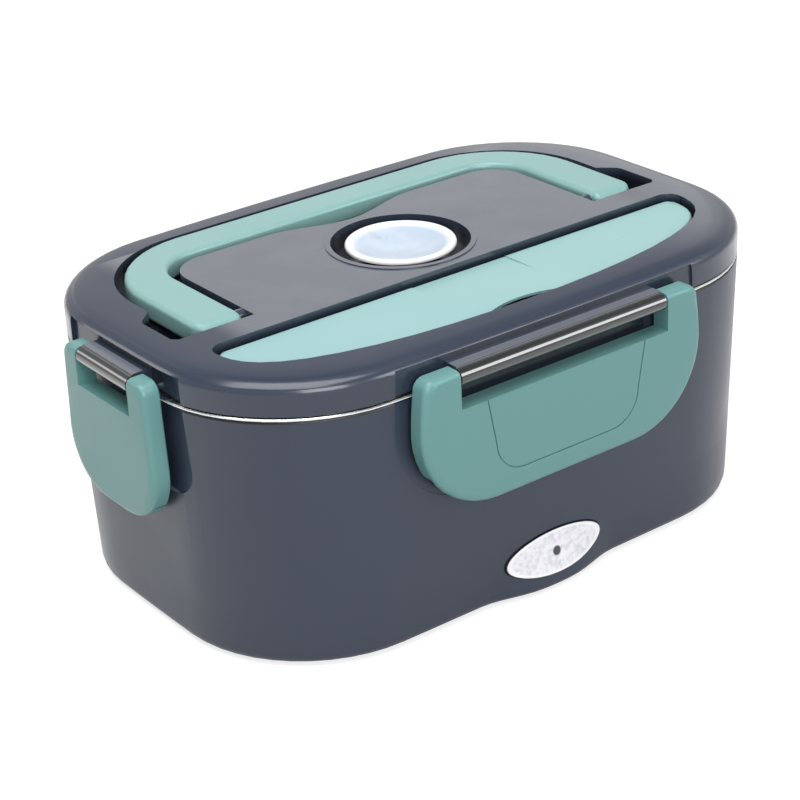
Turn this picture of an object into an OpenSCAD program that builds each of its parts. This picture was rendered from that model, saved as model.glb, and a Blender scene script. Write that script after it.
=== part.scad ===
// Electric lunch box: a heated two-tone box with a steel bowl, a lift-off lid held by four side
// latches, a fold-flat carrying handle, a cutlery compartment and a steam vent plug in the lid.
// Millimetres. Origin at the middle of the footprint on the table, +Z up, length along X, front at -Y.

/* [Body] */
// Length of the body at its rim
body_len = 236; // [225:1:250]
// Width of the body at its rim
body_wid = 154; // [148:1:164]
// Height of the body's rim above the table
rim_h = 90.8; // [84:0.1:98]
// How far each end draws in towards the base
end_draft = 3.2; // [1:0.1:6]
// How far each long side draws in towards the base
side_draft = 2.8; // [1:0.1:6]
// Corner radius of the body
corner_r = 50; // [46:1:54]
// Outward bow of the long sides
long_bow = 3.5; // [2:0.1:4.5]
// Outward bow of the ends
end_bow = 1.5; // [0.5:0.1:2]
// Outward bow of the base's long sides
base_bow = 1.2; // [0:0.1:3.5]
// Wall of the body shell
shell_wall = 2.4; // [2:0.1:2.8]
// Rounding of the body's bottom edge
base_round = 3; // [2:0.1:5]
// How far the rubber feet stand below the body
foot_h = 1.2; // [0.8:0.1:2.5]
// Radius of a rubber foot
foot_r = 6.8; // [5:0.1:9]

/* [Bowl and heater] */
// Depth of the steel bowl
bowl_depth = 62; // [50:0.5:63]
// Sheet thickness of the steel bowl
sheet = 0.7; // [0.5:0.1:1]
// Thickness of the bowl's rolled flange
flange_t = 1; // [0.6:0.1:1.2]
// Width of the bowl's flange
flange_w = 10; // [9.6:0.1:12]
// Taper of the bowl from mouth to floor, on each side
bowl_draft = 6; // [4:0.5:8]
// Wall of the liner round the bowl
liner_wall = 1.4; // [1:0.1:1.6]
// Length of the heating plate
plate_len = 150; // [120:1:165]
// Width of the heating plate
plate_wid = 90; // [70:1:98]
// Length of the heater element
heater_len = 60; // [40:1:80]
// Width of the heater element
heater_wid = 24; // [18:1:32]

/* [Power inlet] */
// Half width of the oval inlet mouth
mouth_hx = 21.7; // [20:0.1:23]
// Half height of the oval inlet mouth
mouth_hz = 8; // [7.4:0.1:8.4]
// Height of the inlet's centre above the body's bottom edge
inlet_z = 13; // [12.4:0.1:13.4]
// How far the boss round the inlet stands out at its foot
boss_out = 5.2; // [5:0.1:9]
// Radius of a contact pin
pin_r = 2; // [1.5:0.1:2.4]
// Distance between the two contact pins
pin_pitch = 19; // [16:0.5:22]
// Free length of a contact pin
pin_free = 9; // [6:0.5:9.5]

/* [Lid] */
// Height of the lid's side band
band_h = 9.3; // [9:0.1:10.5]
// Rise of the lid's crown above its band
crown_h = 3.2; // [3:0.1:4]
// Radius of the steam vent plug
plug_r = 19.8; // [15:0.1:21]
// Width of the open ring round the vent plug
well_gap = 5; // [3:0.1:6]
// How far the vent's centre lies behind the middle of the lid
vent_y = 4.2; // [0:0.1:5]
// Radius of the steam hole
steam_r = 6; // [3:0.1:8]

/* [Handle] */
// Length over the handle's two legs
handle_len = 191; // [186:1:196]
// Width of a leg
leg_w = 17.7; // [14:0.1:18]
// Width of the long bar
bar_w = 15.3; // [12:0.1:16]
// Distance from the box's middle to the back of the long bar
bar_back = 60.8; // [58:0.1:61.5]
// Thickness of the handle
handle_t = 8; // [6:0.1:8.5]
// How far the folded handle stands above the lid
handle_proud = 1.2; // [0:0.1:1.3]
// Clear gap round the folded handle
handle_gap = 3.4; // [2.5:0.1:3.6]
// Radius of a handle trunnion
trunnion_r = 2.6; // [2:0.1:3]

/* [Cutlery compartment] */
// Length of the cutlery cover
cover_len = 198.2; // [184:0.2:202]
// Width of the cutlery cover at its middle
cover_wid = 36; // [33:0.1:37]
// Thickness of the cover's top
cover_t = 2; // [1.5:0.1:2.4]
// Distance from the box's middle to the cover's straight rear edge
cover_rear = 27.6; // [27:0.1:31]
// Gap round the cover
cover_gap = 1.8; // [0.5:0.1:2]

/* [Latches] */
// Width of a long-side latch at its arms
long_latch_w = 117.6; // [100:0.2:124]
// Width of a long-side latch's slot
long_slot_w = 89; // [70:0.2:92]
// Drop of a long-side latch below its hinge
long_drop = 46.8; // [38:0.2:50]
// Width of an end latch at its arms
end_latch_w = 50.6; // [44:0.2:56]
// Width of an end latch's slot
end_slot_w = 32.4; // [24:0.2:34]
// Drop of an end latch below its hinge
end_drop = 48.8; // [42:0.2:54]
// Thickness of a latch
latch_t = 7; // [5.5:0.1:7.1]
// Radius of the hinge barrel on the lid's tongues
barrel_r = 3.1; // [2.9:0.1:3.3]
// Radius of a latch's hinge stub
stub_r = 2.1; // [1.6:0.1:2.4]

/* [Hidden] */

slate = "#4a5560";
sage = "#83b5ad";
steel = "#c9ccd0";
silicone = "#e9edf2";

// Clearances and seats
run = 0.05;            // radial clearance of a hinge stub in its bore
seat = 0.3;            // gap between pieces that rest on each other but lift apart
fit = 0.2;             // gap round a piece that drops into a hole
rest = 0.1;            // gap under a piece that lies on another and lifts off
eps = 0.01;            // overlap that joins two shapes of one piece
far = 400;             // larger than the box

// Sizes of the base
base_len = body_len - 2 * end_draft;
base_wid = body_wid - 2 * side_draft;

// Heights
z0 = foot_h;                          // bottom edge of the body
flange_top = rim_h + rest + flange_t; // top of the bowl's flange
lid_low = flange_top + fit;           // lower edge of the lid's band
band_top = lid_low + band_h;          // where the band turns into the shoulder
lid_top = band_top + crown_h;          // flat top of the lid
bowl_floor = rim_h - bowl_depth;      // underside of the bowl
plate_top = bowl_floor - seat;
liner_low = plate_top - 0.1 - liner_wall;   // underside of the liner's floor
plate_flange = 1.5;
plate_low = liner_low - plate_flange;

// Rounded outline whose sides bow outwards: half sizes are taken over the bows.
corner_steps = 12;
function arc(c, r, a0, a1, n = corner_steps) =
    [for (i = [0 : n]) c + r * [cos(a0 + (a1 - a0) * i / n), sin(a0 + (a1 - a0) * i / n)]];
function between(p, q, n) = [for (i = [1 : n - 1]) p + (q - p) * i / n];
function bowed(points, a, b, bow) =
    [for (p = points)
        [p.x * (1 + end_bow / a * (1 - pow(p.y / b, 2))),
         p.y * (1 + bow / b * (1 - pow(p.x / a, 2)))]];
function outline(hx, hy, r, bow = long_bow, front = []) =
    let (a = hx - end_bow, b = hy - bow, cx = a - r, cy = b - r)
    bowed(concat(
        arc([cx, cy], r, 0, 90), between([cx, b], [-cx, b], 10),
        arc([-cx, cy], r, 90, 180), between([-a, cy], [-a, -cy], 4),
        arc([-cx, -cy], r, 180, 270),
        len(front) > 0 ? [for (x = front) [x, -b]] : between([-cx, -b], [cx, -b], 10),
        arc([cx, -cy], r, 270, 360), between([a, -cy], [a, cy], 4)), a, b, bow);
function raise(points, z) = [for (p = points) [p.x, p.y, z]];
function rim_ring(inset, z) =
    raise(outline(body_len / 2 - inset, body_wid / 2 - inset, corner_r - inset), z);

// A closed solid through rings of points that run anticlockwise, from the lowest to the highest.
module skin(rings) {
    n = len(rings[0]);
    m = len(rings);
    sides = [for (k = [0 : m - 2], i = [0 : n - 1])
        let (j = (i + 1) % n, a = k * n, b = a + n)
        each [[a + i, b + i, b + j], [a + i, b + j, a + j]]];
    low = [[for (i = [0 : n - 1]) i]];
    high = [[for (i = [n - 1 : -1 : 0]) (m - 1) * n + i]];
    polyhedron([for (r = rings) each r], concat(low, sides, high));
}

// ---------------------------------------------------------------- body shell
boss_half = 30;                       // half width of the boss at its root
boss_h = 24;                          // height over which the boss fades into the wall
boss_steps = [-54, -42, -30, -26, -22, -18, -14, -10, -5, 0, 5, 10, 14, 18, 22, 26, 30, 42, 54];
function part_way(z) = (z - z0) / (rim_h - z0);
function boss_rise(x, z) =
    abs(x) < boss_half && z < z0 + boss_h
        ? boss_out * pow(1 - max(0, z - z0) / boss_h, 1.25) * pow(cos(90 * pow(abs(x) / boss_half, 1.3)), 2) : 0;
function body_ring(inset, z, boss = true) =
    let (t = part_way(z), hx = (base_len + (body_len - base_len) * t) / 2 - inset,
         hy = (base_wid + (body_wid - base_wid) * t) / 2 - inset)
    [for (p = outline(hx, hy, corner_r - inset, base_bow + (long_bow - base_bow) * t, boss ? boss_steps : []))
        [p.x, p.y - (boss && p.y < 0 ? boss_rise(p.x, z) : 0), z]];
round_angles = [0, 30, 60, 90];

module body_form(grow = 0) {
    skin(concat(
        [for (a = round_angles)
            body_ring(base_round * (1 - sin(a)) - grow, z0 + base_round * (1 - cos(a)))],
        [for (z = [z0 + 7.5, z0 + 11, z0 + 14.5, z0 + 18, z0 + 21.5, z0 + boss_h, rim_h - 0.5])
            body_ring(-grow, z)],
        [body_ring(0.35 - grow, rim_h)]));
}

rim_land = 6;                         // width of the flat rim that the bowl's flange lies on
liner_step = 4.5;                     // depth of the step that holds the liner's flange
step_w = 2.2;                         // width of that step
rim_deep = 8;                         // height of the thick rim
opening_inset = base_round + 2.2;     // bottom opening, from the base outline
cover_plate_t = 2.8;                  // thickness of the bottom cover
screw_r = 1.3;
screw_post_r = 4.5;
screw_inset = 12;                     // screw posts, inward of the corner of the wall
post_top = z0 + 20;

// The four corner posts, on the diagonals of the corners.
function post_at(sx, sy) =
    [sx * (base_len / 2 - end_bow - corner_r + (corner_r - screw_inset) * cos(45)),
     sy * (base_wid / 2 - base_bow - corner_r + (corner_r - screw_inset) * sin(45))];
module at_posts() {
    for (sx = [-1, 1], sy = [-1, 1]) {
        p = post_at(sx, sy);
        translate([p.x, p.y, 0]) rotate([0, 0, sx * sy * 45 + (sx < 0 ? 180 : 0)]) children();
    }
}

// Oval mouth of the power inlet, as a prism along Y.
function oval(hx, hz, n = 40) = [for (i = [0 : n - 1]) [hx * cos(i * 360 / n), hz * sin(i * 360 / n)]];
module oval_prism(hx, hz, y_front, y_back)
    translate([0, y_back, z0 + inlet_z]) rotate([90, 0, 0])
        linear_extrude(y_back - y_front) polygon(oval(hx, hz));

inlet_back = base_wid / 2 - 13.3;     // inner face of the block round the mouth
inlet_face = inlet_back + 4;          // face of the inlet that the pins stand on
block_hx = 27;
block_top = z0 + inlet_z + 12;

// Latch places: hinge axes lie this far outside the rim and above the lid's lower edge.
hinge_out = 4.3;
hinge_up = 3.1;
hinge_z = lid_low + hinge_up;
latch_face = 3.1;                     // latch face, outside its hinge axis
long_facet = 1.9;                     // depth of the flat behind a latch, from the rim outline
end_facet = 2.8;
long_reach = 4.6;                     // how far the flat reaches past the latch's edge
end_reach = 8.4;
slot_low = 10.2;                      // top edge of a latch's panel, below its hinge
arm_top = 2.9;                        // top of a latch's arms above the hinge
flank = 1.4;                          // how much wider a latch is below its arms
facet_wall = 2.2;                     // wall behind a flat

// Places children at one side's hinge: local X runs along the axis, local Y points outwards.
module at_side(angle) {
    out = (angle == 0 || angle == 180 ? body_wid : body_len) / 2 + hinge_out;
    rotate([0, 0, angle + 180]) translate([0, out, hinge_z]) children();
}
// Outline of a latch seen from outside: x along the hinge, y up from it. inset shrinks it.
function latch_outline(w, drop, r, inset = 0, top = 0) =
    let (hx = w / 2 - inset, low = -drop + inset, wide = hx + flank, c = [wide - r, low + r],
         q = arm_r - inset * 0.5, t = arm_top + top - inset - q)
    concat(
        arc([hx - q, t], q, 0, 90, 5), arc([-hx + q, t], q, 90, 180, 5),
        [[-wide + 0.4, c.y + 7]],
        arc([-c.x, c.y], r, 180, 270, 10), arc(c, r, 270, 360, 10),
        [[wide - 0.4, c.y + 7]]);
arm_r = 4.2;
long_corner = 30;
end_corner = 19;

// The flat that a latch lies over, cut from the outside up to z_top.
module latch_facet(angle, w, drop, r, reach, deep, z_top) {
    at_side(angle) difference() {
        translate([0, -hinge_out - deep, 0]) rotate([90, 0, 180])
            linear_extrude(40) polygon(latch_outline(w + 2 * reach, drop, r, 0, 8));
        translate([-far / 2, -far / 2, z_top - hinge_z]) cube([far, far, 60]);
    }
}
module all_facets(z_top) {
    for (a = [0, 180])
        latch_facet(a, long_latch_w, long_drop - 1, long_corner, long_reach, long_facet, z_top);
    for (a = [90, 270])
        latch_facet(a, end_latch_w, end_drop - 12, end_corner - 9, end_reach, end_facet, z_top);
}
module facet_pad(angle, w, drop, deep)
    at_side(angle) translate([-w / 2 - 14, -hinge_out - deep - facet_wall, -drop - 4])
        cube([w + 28, 20, drop + 20]);
module facet_pads() {
    for (a = [0, 180]) facet_pad(a, long_latch_w, long_drop, long_facet);
    for (a = [90, 270]) facet_pad(a, end_latch_w, end_drop, end_facet);
}
// Catch bead that a latch's rib snaps under.
bead_z = -19;                         // height of the bead, from the hinge
bead_r = 1.3;
module catch_bead(angle, w, deep)
    at_side(angle) translate([-w / 2, -hinge_out - deep, bead_z]) rotate([0, 90, 0])
        cylinder(r = bead_r, h = w, $fn = 24);

module base_shell() {
    throat = rim_land + step_w;
    color(slate) {
        difference() {
            body_form();
            // cavity, less the walls behind the flats, the inlet block and the screw posts
            difference() {
                union() {
                    skin([body_ring(shell_wall, z0 + cover_plate_t, false),
                        body_ring(shell_wall, rim_h - rim_deep, false)]);
                    skin([rim_ring(throat, rim_h - rim_deep - 1), rim_ring(throat, rim_h + 1)]);
                }
                facet_pads();
                translate([-block_hx, -far, z0]) cube([2 * block_hx, far - inlet_back, block_top - z0]);
                at_posts() {
                    cylinder(r = screw_post_r, h = post_top, $fn = 32);
                    translate([0, -1.2, 0]) cube([screw_inset, 2.4, post_top]);
                }
            }
            // bottom opening, liner step, flats, inlet mouth and pilot holes
            skin([body_ring(opening_inset, z0 - 1, false),
                body_ring(opening_inset, z0 + cover_plate_t, false)]);
            skin([rim_ring(rim_land, rim_h - liner_step), rim_ring(rim_land, rim_h + 1)]);
            all_facets(far);
            oval_prism(mouth_hx, mouth_hz, -far / 2, -inlet_back + 1);
            at_posts() cylinder(r = screw_r + run, h = post_top - 2, $fn = 24);
        }
        for (a = [0, 180]) catch_bead(a, long_slot_w * 0.6, long_facet);
        for (a = [90, 270]) catch_bead(a, end_slot_w * 0.6, end_facet);
    }
}

// ---------------------------------------------------------------- liner, bowl and heater
liner_gap = 0.4;                      // between the bowl and the liner
bowl_round = 8;
bowl_corner = corner_r - flange_w;
function bowl_ring(grow, z) =
    let (t = (rim_h - z) / bowl_depth, inset = flange_w + bowl_draft * t - grow)
    raise(outline(body_len / 2 - inset, body_wid / 2 - inset, bowl_corner - 2 * t + grow), z);
module bowl_form(grow, low, top) {
    r = bowl_round + grow;
    skin(concat([for (a = round_angles) bowl_ring(grow - r * (1 - sin(a)), low + r * (1 - cos(a)))],
        [bowl_ring(grow, top)]));
}
module plate_outline(grow) {
    r = 20;
    for (sx = [0, 1]) mirror([sx, 0]) for (sy = [0, 1]) mirror([0, sy])
        translate([plate_len / 2 - r, plate_wid / 2 - r]) circle(r + grow, $fn = 48);
    square([plate_len - 2 * r, plate_wid + 2 * grow], center = true);
    square([plate_len + 2 * grow, plate_wid - 2 * r], center = true);
}

module inner_liner() {
    color("#3c454e") difference() {
        union() {
            bowl_form(liner_gap + liner_wall, liner_low, rim_h - liner_step + eps);
            skin([rim_ring(rim_land + fit, rim_h - liner_step), rim_ring(rim_land + fit, rim_h - liner_step + 1.5)]);
        }
        bowl_form(liner_gap, liner_low + liner_wall, rim_h + 1);
        translate([0, 0, liner_low - 1]) linear_extrude(liner_wall + 2) plate_outline(fit);
    }
}

module heating_plate() {
    color("#b9bcc0") {
        translate([0, 0, liner_low]) linear_extrude(plate_top - liner_low) plate_outline(0);
        difference() {
            translate([0, 0, plate_low]) linear_extrude(plate_flange) plate_outline(4);
            for (s = [-1, 1]) translate([s * clamp_screw_x, 0, plate_low - 1])
                cylinder(r = clamp_screw_r + run, h = plate_flange + 0.9, $fn = 24);
        }
    }
}

heater_t = 5;
clamp_t = 1.2;
clamp_ear = 12;
clamp_screw_r = 1.5;
clamp_screw_x = heater_len / 2 + clamp_ear / 2 + 1;
module ptc_heater() {
    color("#e6e2d8") translate([-heater_len / 2, -heater_wid / 2, plate_low - heater_t])
        cube([heater_len, heater_wid, heater_t]);
}
module heater_clamp() {
    strap = heater_wid * 0.6;
    color("#b9bcc0") difference() {
        union() {
            translate([-heater_len / 2 - clamp_t, -strap / 2, plate_low - heater_t - clamp_t])
                cube([heater_len + 2 * clamp_t, strap, clamp_t]);
            for (s = [-1, 1]) {
                translate([s * (heater_len / 2 + clamp_t / 2) - clamp_t / 2, -strap / 2,
                    plate_low - heater_t - clamp_t]) cube([clamp_t, strap, heater_t + clamp_t]);
                translate([s * (heater_len / 2 + clamp_ear / 2) - clamp_ear / 2, -strap / 2,
                    plate_low - clamp_t]) cube([clamp_ear, strap, clamp_t]);
            }
        }
        for (s = [-1, 1]) translate([s * clamp_screw_x, 0, plate_low - clamp_t - 1])
            cylinder(r = clamp_screw_r + fit, h = clamp_t + 2, $fn = 24);
    }
}
module clamp_screws() {
    color(steel) for (s = [-1, 1]) translate([s * clamp_screw_x, 0, 0]) {
        translate([0, 0, plate_low - clamp_t - 1.6]) cylinder(r = 2.8, h = 1.6, $fn = 32);
        translate([0, 0, plate_low - clamp_t - eps])
            cylinder(r = clamp_screw_r, h = clamp_t + plate_flange - 0.3, $fn = 24);
    }
}

thermostat_at = [0, heater_wid / 2 + 14];
module thermostat() {
    color("#8a7b58") translate([thermostat_at.x, thermostat_at.y, 0]) {
        translate([0, 0, plate_low - 7]) cylinder(r = 8, h = 7, $fn = 48);
        for (s = [-1, 1]) translate([s * 5 - 0.4, -3, plate_low - 13]) cube([0.8, 6, 6.01]);
    }
}
fuse_r = 2;
module thermal_fuse() {
    color("#d8d8d0") translate([-7, 0, plate_low - heater_t - clamp_t - fuse_r])
        rotate([0, 90, 0]) cylinder(r = fuse_r, h = 14, $fn = 32);
}

// ---------------------------------------------------------------- power inlet
pin_back = inlet_back - 14;
shank_r = pin_r - 0.5;                // the pins' part inside the housing
module inlet_housing() {
    color("#23282d") difference() {
        union() {
            oval_prism(mouth_hx - fit, mouth_hz - fit, -inlet_face, -inlet_back + eps);
            translate([-block_hx + 1, -inlet_back, z0 + cover_plate_t + 0.4])
                cube([2 * block_hx - 2, 2.5, 18.5]);
            translate([-14, -inlet_back, z0 + inlet_z - 7]) cube([28, 10, 14]);
        }
        for (s = [-1, 1]) translate([s * pin_pitch / 2, -inlet_face - 1, z0 + inlet_z])
            rotate([-90, 0, 0]) cylinder(r = shank_r + run, h = 40, $fn = 32);
    }
}
module inlet_pins() {
    color(steel) for (s = [-1, 1]) translate([s * pin_pitch / 2, -inlet_face - pin_free, z0 + inlet_z])
        rotate([-90, 0, 0]) {
            cylinder(r1 = pin_r - 0.6, r2 = pin_r, h = 0.8, $fn = 32);
            translate([0, 0, 0.8]) cylinder(r = pin_r, h = pin_free - 0.8, $fn = 32);
            translate([0, 0, pin_free - eps]) cylinder(r = shank_r, h = inlet_face - pin_back, $fn = 32);
        }
}

// A round lead swept along a curve with four control points.
function bezier(p, t) = pow(1 - t, 3) * p[0] + 3 * t * pow(1 - t, 2) * p[1]
    + 3 * t * t * (1 - t) * p[2] + pow(t, 3) * p[3];
lead_r = 1.4;
module lead(p, rings = 14, sides = 8) {
    skin([for (k = [0 : rings])
        let (t = k / rings, c = bezier(p, t), d = bezier(p, min(1, t + 0.01)) - bezier(p, max(0, t - 0.01)),
             f = k == 0 || k == rings ? [0, 1, 0] : d / norm(d), u = cross(f, [0, 0, 1]) / norm(cross(f, [0, 0, 1])),
             v = cross(u, f))
        [for (i = [0 : sides - 1]) c + lead_r * (u * cos(-i * 360 / sides) + v * sin(-i * 360 / sides))]]);
}
module heater_leads() {
    color("#a03030") for (s = [-1, 1])
        lead([[s * pin_pitch / 2, -pin_back, z0 + inlet_z], [s * pin_pitch / 2, -pin_back + 14, z0 + inlet_z],
            [s * heater_len * 0.3, -heater_wid / 2 - 16, plate_low - heater_t / 2],
            [s * heater_len * 0.3, -heater_wid / 2, plate_low - heater_t / 2]]);
}

// ---------------------------------------------------------------- underside
foot_deep = 0.8;                      // depth of a foot's recess
foot_x = base_len / 2 - 36;
foot_y = base_wid / 2 - 26;
head_r = 3;
head_h = 1.6;
module at_feet() {
    for (sx = [-1, 1], sy = [-1, 1]) translate([sx * foot_x, sy * foot_y, 0]) children();
}
module bottom_cover() {
    color(slate) difference() {
        skin([body_ring(opening_inset + fit, z0, false), body_ring(opening_inset + fit, z0 + cover_plate_t, false)]);
        at_posts() {
            translate([0, 0, z0 - 1]) cylinder(r = head_r + fit, h = head_h + 1.2, $fn = 32);
            translate([0, 0, z0 - 1]) cylinder(r = screw_r + fit, h = cover_plate_t + 2, $fn = 24);
        }
        at_feet() translate([0, 0, z0 - 1]) cylinder(r = foot_r + fit, h = foot_deep + 1, $fn = 48);
    }
}
module bottom_screws() {
    color(steel) at_posts() {
        translate([0, 0, z0 + 0.2]) difference() {
            cylinder(r = head_r, h = head_h, $fn = 32);
            for (a = [0, 90]) rotate([0, 0, a]) translate([-1.6, -0.3, -1]) cube([3.2, 0.6, 1.8]);
        }
        translate([0, 0, z0 + 0.2 + head_h - eps]) cylinder(r = screw_r, h = 12, $fn = 24);
    }
}
module rubber_feet() {
    color("#202428") at_feet() {
        cylinder(r1 = foot_r - 0.6, r2 = foot_r, h = 0.8, $fn = 48);
        translate([0, 0, 0.8 - eps]) cylinder(r = foot_r, h = z0 + foot_deep - 0.8 + eps, $fn = 48);
    }
}

module steel_bowl() {
    low = flange_top - flange_t;
    color(steel) difference() {
        union() {
            skin([rim_ring(0.35, low), rim_ring(0.05, low + flange_t * 0.3),
                rim_ring(0.05, low + flange_t * 0.7), rim_ring(0.35, flange_top)]);
            bowl_form(0, bowl_floor, low + eps);
        }
        bowl_form(-sheet, bowl_floor + sheet, flange_top + 1);
        // notches that let the latches' catch ribs past
        for (a = [0, 180]) rib_notch(a, long_slot_w, long_facet);
        for (a = [90, 270]) rib_notch(a, end_slot_w, end_facet);
    }
}
module rib_notch(angle, w, deep)
    at_side(angle) translate([-w * rib_x / 2 - 1, -hinge_out - deep + bead_r, -20]) cube([w * rib_x + 2, 40, 40]);

// ---------------------------------------------------------------- lid
seal_inset = 5.6;
seal_w = 2.4;
seal_h = 2.2;
lid_skin = 2.4;
floor_z = lid_low + 1.7;              // floor of the deep recesses
well_floor = lid_top - 7;             // floor of the well round the vent plug
function shoulder_ring(inset, rise) = rim_ring(inset, band_top + crown_h * rise);
module lid_form() {
    skin([rim_ring(0.5, lid_low), rim_ring(0, lid_low + 0.5), rim_ring(0, band_top - 1.8),
        rim_ring(0.12, band_top - 0.9), rim_ring(0.45, band_top - 0.1), rim_ring(0.9, band_top + crown_h * 0.17),
        shoulder_ring(1.6, 0.37), shoulder_ring(2.6, 0.54), shoulder_ring(4, 0.69), shoulder_ring(6.5, 0.83),
        shoulder_ring(11, 0.93), shoulder_ring(17, 0.98), shoulder_ring(25, 1)]);
}

// Plan outlines of the handle and of the island inside its recess.
leg_end = 13.6;                       // front end of the handle's legs, from the box's middle
island_x = handle_len / 2 - leg_w - handle_gap;
island_y = bar_back - bar_w - handle_gap - 0.7;
handle_outer_r = 38;
handle_inner_r = 17;
scoop_deep = 7.7;                     // finger scoop in front of the bar
scoop_half = 32;
function island_edge(x) = island_y - (abs(x) < scoop_half ? scoop_deep * pow(cos(90 * x / scoop_half), 2) : 0);
island_r = 14;
module island_plan() {
    top = [for (x = [island_x - island_r : -4 : -island_x + island_r]) [x, island_edge(x)]];
    polygon(concat([[island_x, -leg_end - 20]], arc([island_x - island_r, island_y - island_r], island_r, 0, 90, 8),
        top, arc([-island_x + island_r, island_y - island_r], island_r, 90, 180, 8), [[-island_x, -leg_end - 20]]));
}
module recess_plan() {
    hx = handle_len / 2 + handle_gap;
    hy = bar_back + handle_gap;
    r = handle_outer_r + handle_gap;
    difference() {
        polygon(concat([[hx, -leg_end - fit * 3]], arc([hx - r, hy - r], r, 0, 90, 14),
            arc([-hx + r, hy - r], r, 90, 180, 14), [[-hx, -leg_end - fit * 3]]));
        island_plan();
    }
}
// Finger pocket outside one leg's end, and the deep floor under its pivot.
pocket_reach = 9.8;                   // how far the pocket reaches outside the leg
module leg_pocket_plan() {
    x = handle_len / 2;
    polygon([[island_x, -leg_end - fit * 3], [x + pocket_reach - 2, -leg_end - fit * 3],
        [x + pocket_reach, -leg_end + 1.5], [x + pocket_reach, 5], [x + pocket_reach - 0.8, 6.8],
        [x + handle_gap, 12], [x - 4, 12], [x - 8, 3], [island_x, 3]]);
}
pivot_y = -7;
handle_top = lid_top + handle_proud;
pivot_z = handle_top - handle_t / 2;
trunnion_len = 5;                     // how far a trunnion reaches into its leg

// Cutlery cover outline, seen from above: a straight rear edge and a full curved front. grow enlarges it.
cover_rear_r = 4;
function front_depth(t) = pow(1 - pow(abs(t), 2.2), 1 / 3);
function cover_outline(grow = 0) =
    let (hx = cover_len / 2, r = cover_rear_r, y = -cover_rear)
    concat([for (p = arc([hx - r, y - r], r + grow, 90, 0, 5)) p],
        [for (a = [87, 84, 80, 75, 69, 62, 54, 45, 36, 27, 18, 9, 0, -9, -18, -27, -36, -45, -54, -62, -69,
            -75, -80, -84, -87]) [(hx + grow) * sin(a), y + grow - (cover_wid + 2 * grow) * front_depth(sin(a))]],
        arc([-hx + r, y - r], r + grow, 180, 90, 5));
cover_drop = 1.9;                     // cover's top below the lid's top
cover_skirt = 4.5;                    // height of the cover
cover_top = lid_top - cover_drop;
cover_seat = cover_top - cover_skirt;
cover_lip = 3.4;                      // width of the ledge that carries the cover, and the gap round it
notch_half = 16.5;                    // finger notch in the cover's front edge
notch_deep = 4.2;
notch_lip = 0.9;                      // thickness of the cover's edge along the notch

tongue_top = 3.6;                     // top of a tongue above the hinge; its barrel is a little lower
module tongue(angle, w) {
    at_side(angle) {
        hl = w / 2 - 0.6;
        difference() {
            union() {
                rotate([0, 90, 0]) translate([0, 0, -hl]) cylinder(r = barrel_r, h = 2 * hl, $fn = 48);
                translate([-hl, -hinge_out - end_facet - 1, -hinge_up + 0.4])
                    cube([2 * hl, hinge_out + end_facet + 1, hinge_up + tongue_top - 0.4]);
            }
            for (s = [-1, 1]) translate([s * hl, 0, 0]) rotate([0, s * 90, 0])
                translate([0, 0, -stub_len - 0.3]) cylinder(r = stub_r + run, h = stub_len + 1, $fn = 48);
        }
    }
}
stub_len = 4.5;

module lid_shell() {
    well_r = plug_r + well_gap;
    color(slate) {
        difference() {
            union() {
                lid_form();
                translate([0, vent_y, lid_top - 1]) cylinder(r = well_r + 2, h = 1.4, $fn = 96);
            }
            // handle recess with its deep pivot pockets
            translate([0, 0, handle_top - handle_t - 1]) linear_extrude(far) recess_plan();
            for (s = [0, 1]) mirror([s, 0, 0]) {
                translate([0, 0, floor_z]) linear_extrude(far) leg_pocket_plan();
            }
            // vent well and steam hole
            translate([0, vent_y, well_floor]) cylinder(r = well_r, h = 20, $fn = 96);
            translate([0, vent_y, lid_low - 1]) cylinder(r = steam_r, h = 20, $fn = 48);
            // cutlery compartment: seat for the cover, then the trough
            translate([0, 0, cover_seat]) linear_extrude(far) polygon(cover_outline(cover_gap));
            translate([0, 0, floor_z]) linear_extrude(far) polygon(cover_outline(cover_gap - cover_lip));
            // seal groove
            difference() {
                skin([rim_ring(seal_inset - fit, lid_low - 1), rim_ring(seal_inset - fit, lid_low + seal_h)]);
                skin([rim_ring(seal_inset + seal_w + fit, lid_low - 2), rim_ring(seal_inset + seal_w + fit, lid_low + seal_h + 1)]);
            }
            // cored underside of the island, round the well
            translate([0, 0, lid_low - 1]) linear_extrude(lid_top - lid_skin - lid_low + 1) difference() {
                translate([-island_x + 5, -cover_rear + 4.5])
                    square([2 * island_x - 10, cover_rear + island_y - scoop_deep - 7.5]);
                translate([0, vent_y]) circle(well_r + 2, $fn = 96);
                for (s = [-1, 1]) translate([s * 48 - 0.8, -60]) square([1.6, 120]);
            }
            all_facets(band_top);
        }
        for (a = [0, 180]) tongue(a, long_slot_w);
        for (a = [90, 270]) tongue(a, end_slot_w);
        for (s = [0, 1]) mirror([s, 0, 0]) translate([island_x - 1, pivot_y, pivot_z]) rotate([0, 90, 0])
            cylinder(r = trunnion_r, h = 1 + handle_gap + trunnion_len, $fn = 48);
    }
}

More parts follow.
